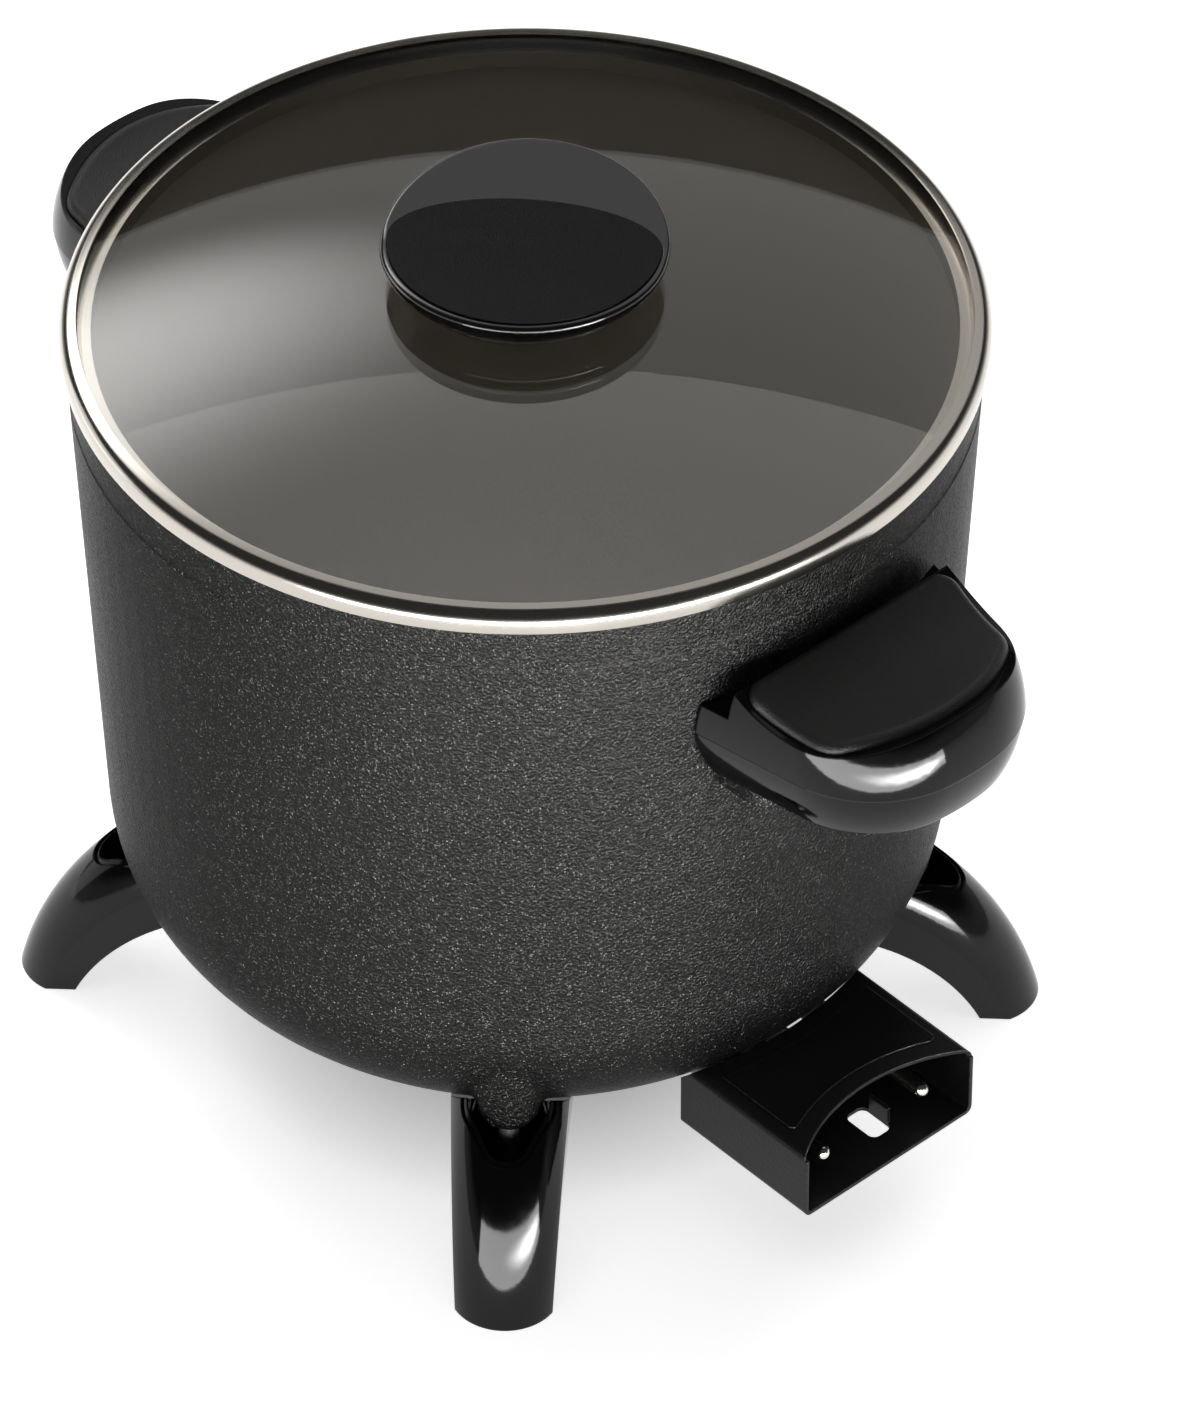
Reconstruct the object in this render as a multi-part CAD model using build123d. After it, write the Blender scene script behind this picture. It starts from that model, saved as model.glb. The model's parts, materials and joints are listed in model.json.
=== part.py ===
from build123d import *
import os
from math import asin, cos, hypot, radians, sin, sqrt, tan

# Millimetres. The origin is on the floor under the pot's axis, +Z up, +X towards the terminal guard.

# Fits and small gaps
seat_gap = 0.1
lid_gap = 0.3
trim_gap = 0.8

# Pot: a cast vessel with a drafted wall and a round bottom corner
pot_base_z = 29.0
pot_height = 179.5
pot_radius = 109.2
pot_draft = 2.66
pot_corner = 45.0
pot_wall = 3.2
pot_ledge_drop = 12.5
pot_ledge_step = 0.15
pot_ledge_rise = 0.4
floor_depth = 15.0
floor_skin = 5.0
floor_corner = 35.0
recess_inset = 55.2
rim_round = 0.9

# Heating element: a tubular loop pressed into a groove in the base
element_radius = 3.5
element_stand = 12.0
element_height = 7.0
element_open_angle = 40.0
element_bend = 20.0
element_inset = 19.2
groove_gap = 0.1

# Terminals and probe well, on the element's level
pin_radius = 2.0
pin_step = 0.4
pin_neck = 0.5
pin_spacing = 33.0
pin_reach = 16.8
insulator_radius = 3.3
insulator_length = 6.0
probe_radius = 3.3
probe_depth = 28.0
probe_boss_radius = 6.0
probe_inset = 19.2

# Guard: a bent steel box round the pins, with a tongue screwed under the pot
guard_width = 55.6
guard_reach = 21.2
guard_overlap = 23.2
guard_drop = 3.0
guard_height = 20.2
guard_sheet = 1.0
guard_bend = 2.0
guard_arc_depth = 9.2
guard_arc_radius = 48.8
guard_pot_gap = 0.5
guard_tongue_width = 24.0
guard_tongue_inset = 43.7
guard_window_length = 10.5
guard_window_width = 6.3
guard_window_inset = 13.2
guard_window_y = 5.6
guard_window_round = 2.0
guard_tab_height = 4.5
plate_margin = 3.8
plate_front_margin = 4.6
plate_thickness = 0.5
plate_round = 1.5
guard_boss_radius = 4.2
guard_screw_radius = 1.75
guard_screw_spacing = 15.0
guard_screw_inset = 37.2
guard_screw_depth = 9.0
guard_screw_head_radius = 3.3
guard_screw_head = 2.2

# Legs: arches that taper to the foot, with a crowned outer face and a notch at the top
leg_count = 4
leg_first_angle = 45.0
foot_reach = 21.3
foot_depth = 14.5
foot_width = 23.8
leg_top_width = 29.4
leg_inner_lean = 24.4
leg_inner_extra = 20.7
leg_outer_lean = 13.5
leg_outer_extra = 3.2
leg_crown_rise = 11.95
leg_under_drop = 1.03
leg_side_share = 0.52
leg_sections = 5
leg_floor_share = 0.2
boss_inset = 17.2
boss_rise = 8.5
boss_tip_radius = 7.0
boss_flare = 0.12
boss_length = 26.5
boss_tip_round = 5.0
boss_blend = 3.0
notch_radius = 10.0
notch_end_radius = 5.6
notch_end_reach = 9.4
notch_lip = 1.5
notch_lip_depth = 0.7
ferrule_length = 10.5
ferrule_radius = 2.6
leg_screw_radius = 2.0
leg_screw_depth = 10.0
leg_screw_head_radius = 3.8
leg_screw_head = 2.8
leg_screw_seat = 3.0

# Handles: glossy bodies with a hollow underneath and a dished grip inlaid on top
handle_reach = 46.3
handle_drop = 51.1
handle_seam_rise = 12.6
handle_top_rise = 33.0
handle_root_overlap = 8.2
handle_root_half = 38.7
handle_taper_share = 0.2377
handle_nose_bow = 7.5
handle_nose_share = 0.975
handle_under_inset = 3.2
handle_under_bulge = 0.8
handle_top_inset = 5.5
handle_top_bulge = 1.4
handle_top_back = 4.0
handle_mid_back = 1.2
handle_seam_step = 0.3
handle_wall_gap = 0.6
handle_face_gap = 0.9
handle_face_drop = 12.0
grip_dish = 42.0
grip_dish_height = 25.1
grip_dish_reach = 21.6
grip_front_reach = 39.0
grip_front_bow = 11.5
grip_root_inset = 5.4
grip_nose_inset = 9.4
grip_corner = 10.0
grip_root_corner = 5.0
grip_thickness = 8.0
grip_proud = 2.6
grip_round = 2.5
hollow_wall = 9.0
hollow_reach = 27.0
hollow_depth = 11.5
hollow_bend = 18.0
lug_radius = 6.5
lug_stand = 8.0
lug_inset = 12.7
lug_height = 8.0
lug_seat = 2.6
lug_gap = 0.4
handle_screw_radius = 1.9
handle_screw_length = 19.0
handle_screw_head_radius = 3.6
handle_screw_head = 2.4

# Lid: a glass dome in a steel band
band_overhang = 1.8
band_sheet = 0.7
band_lip = 4.2
skirt_gap = 2.4
band_skirt = 4.0
band_round = 1.2
glass_thickness = 4.0
glass_rise = 14.0
glass_edge_gap = 0.4

# Knob: a round body cut by a shallow finger groove, with a grip inlaid in the groove
knob_radius = 34.5
knob_foot_radius = 30.0
knob_height = 12.2
knob_waist_rise = 5.0
knob_waist_round = 3.0
knob_rim_round = 1.2
knob_stem_radius = 5.0
knob_stem_gap = 0.6
groove_far_slope = 8.5
groove_near_slope = 3.5
groove_round = 30.0
knob_turn = 41.5
knob_grip_margin = 1.9
knob_grip_far = 13.6
knob_grip_thickness = 1.8
knob_grip_proud = 0.5
knob_rib_rise = 1.6
knob_rib_pitch = 2.2
knob_rib_depth = 0.5
knob_rib_count = 2
gasket_radius = 13.0
gasket_thickness = 0.8
washer_radius = 11.0
washer_thickness = 1.2
knob_screw_radius = 2.5
knob_screw_depth = 3.0
knob_screw_head_radius = 5.0
knob_screw_head = 3.2

# Places that follow from the sizes above
pot_rim_z = pot_base_z + pot_height
ledge_z = pot_rim_z - pot_ledge_drop
floor_z = pot_base_z + floor_depth
terminal_z = pot_base_z + element_height
draft_rate = tan(radians(pot_draft))
recess_radius = pot_radius - recess_inset
element_loop = recess_radius + element_stand
element_end = pot_radius - element_inset
pin_stem_radius = pin_radius - pin_step
pin_start = element_end + insulator_length + pin_neck
pin_tip = pot_radius + pin_reach
pin_y = pin_spacing / 2
probe_mouth = pot_radius - probe_inset
guard_front = pot_radius + guard_reach
guard_rear = pot_radius - guard_overlap
guard_bottom = pot_base_z - guard_drop
guard_top = guard_bottom + guard_height
guard_window_x = guard_front - guard_window_inset
guard_screw_x = pot_radius - guard_screw_inset
guard_tongue_end = pot_radius - guard_tongue_inset
boss_axis = pot_radius - boss_inset
boss_tip_z = pot_base_z + boss_rise
notch_floor_z = boss_tip_z - ferrule_length
leg_seat_z = notch_floor_z - leg_screw_seat
foot_inner = boss_axis + foot_reach
foot_outer = foot_inner + foot_depth
handle_bottom_z = pot_rim_z - handle_drop
lug_half = handle_root_half - lug_inset
grip_face = pot_radius + handle_face_gap
grip_front = pot_radius + grip_front_reach
grip_half = handle_root_half - grip_nose_inset
band_radius = pot_radius + band_overhang
band_flange = band_overhang + pot_wall + skirt_gap
lid_z = pot_rim_z + lid_gap
glass_bottom_z = lid_z + band_sheet + seat_gap
glass_edge = band_radius - band_sheet - glass_edge_gap
glass_top_z = glass_bottom_z + glass_thickness + glass_rise
glass_bend = (glass_edge**2 + glass_rise**2) / (2 * glass_rise)
knob_z = glass_top_z + gasket_thickness
knob_top_z = knob_z + knob_height


def wall_radius(z):
    """Outer radius of the pot's drafted wall at height z, without the round corner."""
    return pot_radius - draft_rate * (ledge_z - z)


def turned(points, round_at=None, radius=0.0):
    """Revolve a closed (radius, height) outline about Z, with one corner rounded."""
    outline = Polyline(*points, close=True)
    face = make_face(outline)
    if round_at is not None:
        corner = face.vertices().sort_by_distance((round_at[0], round_at[1], 0))[0]
        face = fillet(corner, radius)
    return revolve(Plane.XZ * face, Axis.Z)


def pot_outside(gap=0.0):
    """The pot's outer form, grown by a gap for the pieces that stand clear of it."""
    base = pot_base_z - gap
    lean = gap / cos(radians(pot_draft))
    corner = (wall_radius(base) + lean, base)
    points = [
        (0, base),
        corner,
        (pot_radius + lean, ledge_z),
        (pot_radius + lean - pot_ledge_step, ledge_z + pot_ledge_rise),
        (wall_radius(pot_rim_z) + lean - pot_ledge_step, pot_rim_z),
        (0, pot_rim_z),
    ]
    return turned(points, corner, pot_corner + gap)


def pot_inside():
    """The cooking space, cut from the casting."""
    lean = pot_wall / cos(radians(pot_draft))
    above = pot_rim_z + floor_depth
    corner = (wall_radius(floor_z) - lean, floor_z)
    points = [
        (0, floor_z),
        corner,
        (wall_radius(above) - lean, above),
        (0, above),
    ]
    return turned(points, corner, floor_corner)


def upright(radius, low, high):
    """A round bar along Z from one height to another."""
    return Pos(0, 0, (low + high) / 2) * Cylinder(radius, high - low)


def along_x(radius, start, end):
    """A round bar along X from one place to another."""
    return Pos((start + end) / 2, 0, 0) * Rot(0, 90, 0) * Cylinder(radius, end - start)


def slab(low, high):
    """A box between two opposite corners."""
    size = [b - a for a, b in zip(low, high)]
    middle = [(a + b) / 2 for a, b in zip(low, high)]
    return Pos(*middle) * Box(*size)


def mirrored(shape):
    """The same shape on the other side of the plane between the legs."""
    return mirror(shape, Plane.YZ)


def leg_angles():
    """Directions of the legs, evenly spread."""
    return [leg_first_angle + 360 * place / leg_count for place in range(leg_count)]


def lug_places():
    """Centres of the right handle's lugs in plan, beside the pot's wall."""
    reach = sqrt(wall_radius(handle_bottom_z) ** 2 - lug_half**2) + lug_stand
    return [(reach, end * lug_half) for end in (1, -1)]


def lug(gap, low, high):
    """The right handle's two lugs, each a round end joined straight to the wall, grown by a gap."""
    both = None
    for x, y in lug_places():
        half = lug_radius + gap
        bar = Pos(x, y, 0) * upright(half, low, high)
        bar += slab((x - 2 * lug_stand, y - half, low), (x, y + half, high))
        both = bar if both is None else both + bar
    return both


# Heating element

def element_path():
    """Centre line of the loop: a long arc, two straights and two bends into the terminals."""
    turn = radians(element_open_angle)
    start = Vector(element_loop * cos(turn), element_loop * sin(turn))
    heading = Vector(sin(turn), -cos(turn))
    bend_turn = radians(90 - element_open_angle)
    drop = start.Y - pin_y - element_bend * (1 - cos(bend_turn))
    straight = start + heading * (drop / cos(turn))
    bend_end = Vector(straight.X + element_bend * sin(bend_turn), pin_y)
    half_turn = bend_turn / 2
    bend_middle = Vector(
        bend_end.X - element_bend * sin(half_turn),
        pin_y + element_bend * (1 - cos(half_turn)),
    )
    terminal = Vector(element_end, pin_y)

    def across(point):
        return Vector(point.X, -point.Y)

    edges = [
        Line(terminal, bend_end),
        ThreePointArc(bend_end, bend_middle, straight),
        Line(straight, start),
        ThreePointArc(start, (-element_loop, 0), across(start)),
        Line(across(start), across(straight)),
        ThreePointArc(across(straight), across(bend_middle), across(bend_end)),
        Line(across(bend_end), across(terminal)),
    ]
    return Wire(edges)


def element_tube(radius):
    """The loop as a tube of the given radius, on the terminals' level."""
    path = element_path()
    section = Plane(origin=path @ 0, z_dir=path % 0) * Circle(radius)
    return Pos(0, 0, terminal_z) * sweep(section, path=path)


def element_groove():
    """Groove in the base that the loop is pressed into, open underneath."""
    width = 2 * (element_radius + groove_gap)
    track = trace(element_path(), width)
    depth = element_height + floor_depth
    channel = Pos(0, 0, terminal_z - depth) * extrude(track, depth)
    return channel + element_tube(element_radius + groove_gap)


def terminal_pin(side):
    """A round pin with a domed tip, on a slimmer stem carried by the element's end."""
    stem = along_x(pin_stem_radius, element_end, pin_start)
    shank = along_x(pin_radius, pin_start, pin_tip - pin_radius)
    tip = Pos(pin_tip - pin_radius, 0, 0) * Sphere(pin_radius)
    return Pos(0, side * pin_y, terminal_z) * (stem + shank + tip)


def pin_insulator(side):
    """A ceramic bead round the pin's stem, against the element's end."""
    end = element_end + insulator_length
    bead = along_x(insulator_radius, element_end, end)
    hole = along_x(pin_stem_radius + seat_gap, element_end, end)
    return Pos(0, side * pin_y, terminal_z) * (bead - hole)


# Pot

def leg_boss(gap=0.0):
    """A tapered boss under the pot's corner, with a rounded tip, grown by a gap for the leg."""
    top_radius = boss_tip_radius + boss_flare * boss_length
    cone = Cone(boss_tip_radius + gap, top_radius + gap, boss_length)
    cone = Pos(boss_axis, 0, boss_tip_z + boss_length / 2) * cone
    tip = cone.edges().group_by(Axis.Z)[0]
    return fillet(tip, boss_tip_round)


def guard_screw_places():
    """Centres of the guard's screws in plan."""
    return [(guard_screw_x, side * guard_screw_spacing / 2) for side in (1, -1)]


def pot():
    """The casting: vessel, leg bosses, handle lugs, guard bosses and probe boss."""
    body = pot_outside()
    for angle in leg_angles():
        body += Rot(0, 0, angle) * leg_boss()
    blends = [edge for edge in body.edges() if edge.geom_type not in (GeomType.CIRCLE, GeomType.LINE)]
    body = fillet(blends, boss_blend)
    lug_top = handle_bottom_z + lug_seat
    right_lugs = lug(0, lug_top - lug_height, lug_top)
    for x, y in lug_places():
        right_lugs -= Pos(x, y, 0) * upright(handle_screw_radius + seat_gap, 0, pot_rim_z)
    body += right_lugs
    body += mirrored(right_lugs)
    tongue_top = guard_bottom + guard_sheet
    for x, y in guard_screw_places():
        body += Pos(x, y, 0) * upright(guard_boss_radius, tongue_top, terminal_z)
    body += Pos(0, 0, terminal_z) * along_x(probe_boss_radius, recess_radius, probe_mouth)
    body -= pot_inside()
    body -= upright(recess_radius, pot_base_z - floor_depth, floor_z - floor_skin)
    body -= element_groove()
    body -= Pos(0, 0, terminal_z) * along_x(probe_radius, probe_mouth - probe_depth, guard_front)
    for angle in leg_angles():
        hole = upright(leg_screw_radius + seat_gap, boss_tip_z, boss_tip_z + leg_screw_depth + seat_gap)
        body -= Rot(0, 0, angle) * Pos(boss_axis, 0, 0) * hole
    for x, y in guard_screw_places():
        hole = upright(guard_screw_radius + seat_gap, tongue_top, tongue_top + guard_screw_depth)
        body -= Pos(x, y, 0) * hole
    rim_edges = body.edges().filter_by(GeomType.CIRCLE).group_by(Axis.Z)[-1]
    return fillet(rim_edges, rim_round)


# Terminal guard

def front_arc(depth_back, low, high):
    """Round cutter for the concave front edge, moved back from the guard's own edge."""
    edge = guard_front - guard_arc_depth
    centre = edge + guard_arc_radius
    return Pos(centre, 0, 0) * upright(guard_arc_radius + depth_back, low, high)


def terminal_guard():
    """Folded box with a concave front edge, a floor window with its tab, and a screw tongue."""
    half = guard_width / 2
    box = slab((guard_rear, -half, guard_bottom), (guard_front, half, guard_top))
    box = fillet(box.edges().filter_by(Axis.X), guard_bend)
    room = slab(
        (guard_rear, guard_sheet - half, guard_bottom + guard_sheet),
        (guard_front, half - guard_sheet, guard_top - guard_sheet),
    )
    box -= fillet(room.edges().filter_by(Axis.X), guard_bend - guard_sheet)
    box -= front_arc(0, guard_top - guard_bend, guard_top + guard_bend)
    box -= pot_outside(guard_pot_gap)
    tongue_half = guard_tongue_width / 2
    floor_top = guard_bottom + guard_sheet
    box += slab((guard_tongue_end, -tongue_half, guard_bottom), (guard_rear, tongue_half, floor_top))
    window = RectangleRounded(guard_window_length, guard_window_width, guard_window_round)
    window = Pos(guard_window_x, guard_window_y, guard_bottom - guard_sheet) * window
    box -= extrude(window, 3 * guard_sheet)
    tab_half = guard_window_length / 2 - guard_window_round
    tab_y = guard_window_y + guard_window_width / 2
    box += slab(
        (guard_window_x - tab_half, tab_y, guard_bottom),
        (guard_window_x + tab_half, tab_y + guard_sheet, floor_top + guard_tab_height),
    )
    for x, y in guard_screw_places():
        box -= Pos(x, y, guard_bottom) * Cylinder(guard_screw_radius + seat_gap, 4 * guard_sheet)
    return box


def guard_plate():
    """Thin bare plate on the guard's top, following its concave edges."""
    half = guard_width / 2 - plate_margin
    pot_edge = pot_outside(guard_pot_gap + plate_margin)
    top = guard_top + plate_thickness
    plate = slab((guard_rear, -half, guard_top), (guard_front, half, top))
    plate -= front_arc(plate_front_margin, guard_bottom, top + guard_bend)
    plate -= pot_edge
    corners = plate.edges().filter_by(Axis.Z).group_by(Axis.X)
    return fillet(corners[-1] + corners[0], plate_round)


def guard_screws():
    """Two pan-head screws from below, through the tongue into the pot."""
    screws = []
    for x, y in guard_screw_places():
        shank = upright(guard_screw_radius, guard_bottom, guard_bottom + guard_screw_depth)
        head = upright(guard_screw_head_radius, guard_bottom - guard_screw_head, guard_bottom)
        screws.append(Pos(x, y, 0) * (shank + head))
    return Compound(children=screws)


# Legs

def arch_point(foot, lean, boss_z, extra, share):
    """Point on an arch that leans in from the floor, meets the boss's axis at a height and runs on past it."""
    start = radians(lean)
    run = foot - boss_axis
    bend = (run**2 + boss_z**2) / (2 * (run * cos(start) - boss_z * sin(start)))
    to_boss = 2 * asin(hypot(run, boss_z) / (2 * bend))
    angle = start + (to_boss + radians(extra)) * share
    return (
        foot + bend * (cos(angle) - cos(start)),
        bend * (sin(angle) - sin(start)),
    )


def leg_section(share, drop):
    """Cross-section of the leg, at a share of the way from the foot to the top."""
    inner = arch_point(foot_inner, leg_inner_lean, leg_seat_z - leg_under_drop, leg_inner_extra, share)
    outer = arch_point(foot_outer, leg_outer_lean, boss_tip_z + leg_crown_rise, leg_outer_extra, share)
    across = Vector(outer[0] - inner[0], 0, outer[1] - inner[1])
    half = (foot_width + (leg_top_width - foot_width) * share) / 2
    crown = across.length - drop
    side = across.length * leg_side_share - drop
    outline = Wire([
        Line((-half, 0), (half, 0)),
        Line((half, 0), (half, side)),
        ThreePointArc((half, side), (0, crown), (-half, side)),
        Line((-half, side), (-half, 0)),
    ])
    normal = Vector(0, 1, 0).cross(across)
    plane = Plane(origin=(inner[0], 0, inner[1]), x_dir=(0, 1, 0), z_dir=normal)
    return plane * make_face(outline)


def leg_blank(drop=0.0):
    """The arched leg before the cuts, with its crown lowered by a drop."""
    step = (1 + leg_floor_share) / leg_sections
    shares = [step * place - leg_floor_share for place in range(leg_sections + 1)]
    return loft([leg_section(share, drop) for share in shares])


def leg_notch(grow):
    """Notch round the boss, pointed outwards."""
    wide = Circle(notch_radius + grow)
    end = Pos(notch_end_reach, 0) * Circle(notch_end_radius + grow)
    plan = make_hull(wide.edges() + end.edges())
    return Pos(boss_axis, 0, notch_floor_z) * extrude(plan, pot_height)


def leg():
    """One leg, standing on +X, notched for its boss and hollowed for the screw head."""
    body = leg_blank()
    reach = 2 * foot_outer
    body -= slab((0, -reach, -reach), (reach, reach, 0))
    body -= pot_outside(trim_gap)
    body -= leg_notch(0)
    body -= leg_notch(notch_lip) - leg_blank(notch_lip_depth)
    body -= leg_boss(trim_gap)
    body -= Pos(boss_axis, 0, 0) * upright(leg_screw_radius + seat_gap, 0, notch_floor_z)
    body -= Pos(boss_axis, 0, 0) * upright(leg_screw_head_radius + trim_gap, 0, leg_seat_z)
    return body


def leg_ferrules():
    """Bright spacers between the bosses and the notch floors."""
    bush = upright(ferrule_radius, notch_floor_z, boss_tip_z)
    bush -= upright(leg_screw_radius + seat_gap, notch_floor_z, boss_tip_z)
    return Compound(children=[Rot(0, 0, angle) * Pos(boss_axis, 0, 0) * bush for angle in leg_angles()])


def leg_screws():
    """Screws from below, through leg and ferrule into the boss."""
    screw = upright(leg_screw_radius, leg_seat_z, boss_tip_z + leg_screw_depth)
    screw += upright(leg_screw_head_radius, leg_seat_z - leg_screw_head, leg_seat_z)
    return Compound(children=[Rot(0, 0, angle) * Pos(boss_axis, 0, 0) * screw for angle in leg_angles()])


# Handles

def handle_outline(inset, back=0.0):
    """Plan of a handle: straight sides that taper to a bowed nose with round corners, set back."""
    root = pot_radius - handle_root_overlap
    tip = pot_radius + handle_reach - back
    corner = tip - handle_nose_bow
    half = handle_root_half * (1 - handle_taper_share * (corner - root) / (tip - root))
    outline = Wire([
        Line((root, handle_root_half), (root, -handle_root_half)),
        Line((root, -handle_root_half), (corner, -half)),
        ThreePointArc((corner, -half), (tip, 0), (corner, half)),
        Line((corner, half), (root, handle_root_half)),
    ])
    face = make_face(outline)
    noses = face.vertices().group_by(Axis.X)[-1]
    face = fillet(noses, half * handle_nose_share)
    return offset(face, -inset) if inset else face


def grip_dish_bar(grow):
    """Round bar along Y that dishes the top of the grip."""
    x = pot_radius + grip_dish_reach
    z = handle_bottom_z + grip_dish_height + grip_dish
    return Pos(x, 0, z) * Rot(90, 0, 0) * Cylinder(grip_dish + grow, 4 * handle_root_half)


def handle_loft(levels):
    """Loft of the handle's plan through (rise, inset, back) levels."""
    return loft([Pos(0, 0, handle_bottom_z + rise) * handle_outline(*plan) for rise, *plan in levels])


def handle_blank():
    """The bulged outer form of a handle before the cuts, in two halves that meet at the seam."""
    top = handle_top_rise - handle_seam_rise
    lower = handle_loft([
        (0, handle_under_inset),
        (handle_seam_rise / 2, handle_seam_step + handle_under_bulge),
        (handle_seam_rise, handle_seam_step),
    ])
    upper = handle_loft([
        (handle_seam_rise, 0),
        (handle_seam_rise + top / 2, handle_top_bulge, handle_mid_back),
        (handle_top_rise, handle_top_inset, handle_top_back),
    ])
    return lower + upper


def grip_plan():
    """Plan of the grip: sides that taper to the bowed outer edge, with round corners."""
    root_half = handle_root_half - grip_root_inset
    corner = grip_front - grip_front_bow
    outline = Wire([
        Line((grip_face, root_half), (grip_face, -root_half)),
        Line((grip_face, -root_half), (corner, -grip_half)),
        ThreePointArc((corner, -grip_half), (grip_front, 0), (corner, grip_half)),
        Line((corner, grip_half), (grip_face, root_half)),
    ])
    face = make_face(outline)
    face = fillet(face.vertices().group_by(Axis.X)[-1], grip_corner)
    return fillet(face.vertices().group_by(Axis.X)[0], grip_root_corner)


def grip_prism(grow):
    """Upright prism over the grip's plan, grown by a gap for its seat."""
    plan = offset(grip_plan(), grow) if grow else grip_plan()
    return extrude(Pos(0, 0, handle_bottom_z) * plan, 2 * handle_top_rise)


def handle():
    """The right handle: dished, hollow underneath and seated on the pot's lugs."""
    body = handle_blank()
    body -= grip_dish_bar(grip_proud)
    body -= grip_prism(seat_gap) & grip_dish_bar(grip_thickness + seat_gap)
    body -= pot_outside(handle_wall_gap)
    size = 4 * handle_root_half
    drop = handle_bottom_z + handle_top_rise - handle_face_drop
    body -= slab((grip_face - size, -size, drop), (grip_face, size, drop + size))
    hollow = Pos(0, 0, handle_bottom_z) * extrude(handle_outline(hollow_wall), hollow_depth)
    roof_z = handle_bottom_z + hollow_depth - hollow_bend
    roof = Rot(90, 0, 0) * Cylinder(hollow_bend, size)
    hollow &= Pos(pot_radius + hollow_reach, 0, roof_z) * roof
    body -= hollow
    seat = handle_bottom_z + lug_seat
    hole_top = seat - lug_height + handle_screw_length
    body -= lug(lug_gap, 0, seat)
    for x, y in lug_places():
        body -= Pos(x, y, 0) * upright(handle_screw_radius + seat_gap, 0, hole_top + seat_gap)
    return body


def handle_grip():
    """The matte inlay on the right handle, standing a little proud."""
    body = grip_prism(0) & grip_dish_bar(grip_thickness)
    body -= grip_dish_bar(0)
    top = max(body.faces(), key=lambda face: face.normal_at().Z)
    return fillet(top.edges(), grip_round)


def handle_screws():
    """Screws from below, through the pot's lugs into the handles."""
    low = handle_bottom_z + lug_seat - lug_height
    screw = upright(handle_screw_radius, low, low + handle_screw_length)
    screw += upright(handle_screw_head_radius, low - handle_screw_head, low)
    right = [Pos(x, y, 0) * screw for x, y in lug_places()]
    return Compound(children=right + [mirrored(one) for one in right])


# Lid

def dome_z(radius):
    """Height of the glass's underside at a radius."""
    return glass_bottom_z + glass_rise - glass_bend + sqrt(glass_bend**2 - radius**2)


def lid_glass():
    """The glass dome with its hole for the knob's stem."""
    hole = knob_stem_radius + knob_stem_gap
    middle = (glass_edge + hole) / 2
    under = [(radius, dome_z(radius)) for radius in (hole, middle, glass_edge)]
    over = [(radius, z + glass_thickness) for radius, z in under]
    section = Wire([
        ThreePointArc(*under),
        Line(under[2], over[2]),
        ThreePointArc(*over),
        Line(over[0], under[0]),
    ])
    return revolve(Plane.XZ * make_face(section), Axis.Z)


def lid_band():
    """Rolled steel band round the glass, with a skirt that centres the lid in the pot."""
    inner = band_radius - band_sheet
    lip = band_radius - band_lip
    flange = band_radius - band_flange
    skirt = flange - band_sheet
    ceiling = glass_thickness + seat_gap
    lip_z = dome_z(lip) + ceiling
    wall_z = dome_z(glass_edge) + ceiling
    crest = (band_radius, wall_z + band_sheet)
    return turned([
        (skirt, lid_z - band_skirt),
        (flange, lid_z - band_skirt),
        (flange, lid_z),
        (band_radius, lid_z),
        crest,
        (lip, lip_z + band_sheet),
        (lip, lip_z),
        (inner, wall_z),
        (inner, lid_z + band_sheet),
        (skirt, lid_z + band_sheet),
    ], crest, band_round)


def groove_cut(drop):
    """Everything above the knob's finger groove, lowered by a drop."""
    reach = 2 * knob_radius
    far_rise = tan(radians(groove_far_slope))
    near_rise = tan(radians(groove_near_slope))
    valley = knob_top_z - knob_radius * far_rise - drop
    face = make_face(Polyline(
        (-reach, valley + reach * near_rise),
        (0, valley),
        (reach, valley + reach * far_rise),
        (reach, valley + 2 * reach),
        (-reach, valley + 2 * reach),
        close=True,
    ))
    face = fillet(face.vertices().sort_by_distance((0, valley, 0))[0], groove_round)
    return extrude(Plane.YZ * face, reach, both=True)


def knob_blank():
    """The knob's turned form, with ridge lines round the foot."""
    waist_z = knob_z + knob_waist_rise
    points = [
        (0, knob_z),
        (knob_foot_radius, knob_z),
        (knob_radius, waist_z),
        (knob_radius, knob_top_z + knob_rib_depth),
        (0, knob_top_z + knob_rib_depth),
    ]
    body = turned(points, (knob_radius, waist_z), knob_waist_round)
    slope = (knob_radius - knob_foot_radius) / knob_waist_rise
    for place in range(knob_rib_count):
        rise = knob_rib_rise + place * knob_rib_pitch
        radius = knob_foot_radius + slope * rise
        ring = turned([
            (radius - knob_rib_depth, knob_z + rise),
            (radius + knob_rib_depth, knob_z + rise - knob_rib_depth),
            (radius + knob_rib_depth, knob_z + rise + knob_rib_depth),
        ])
        body -= ring
    return body


def knob_grip_prism(grow):
    """Upright prism over the knob's grip: round on the near side, an oval edge on the far side."""
    length = knob_radius - knob_grip_margin + grow
    oval = Ellipse(length, knob_grip_far + grow)
    near = Circle(length) & (Pos(0, -length) * Rectangle(4 * length, 2 * length))
    return Pos(0, 0, knob_z) * extrude(oval + near, 2 * knob_height)


def knob_frame(shape):
    """Turn a knob piece to the way the lid is set down."""
    return Rot(0, 0, knob_turn) * shape


def on_knob_rim(edge):
    """Tell whether an edge runs round the knob's upper rim."""
    middle = edge @ 0.5
    outer = abs(hypot(middle.X, middle.Y) - knob_radius) < seat_gap
    level = abs((edge % 0.5).Z) < cos(radians(45))
    return outer and level and middle.Z > knob_z + knob_waist_rise + knob_waist_round / 2


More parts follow.
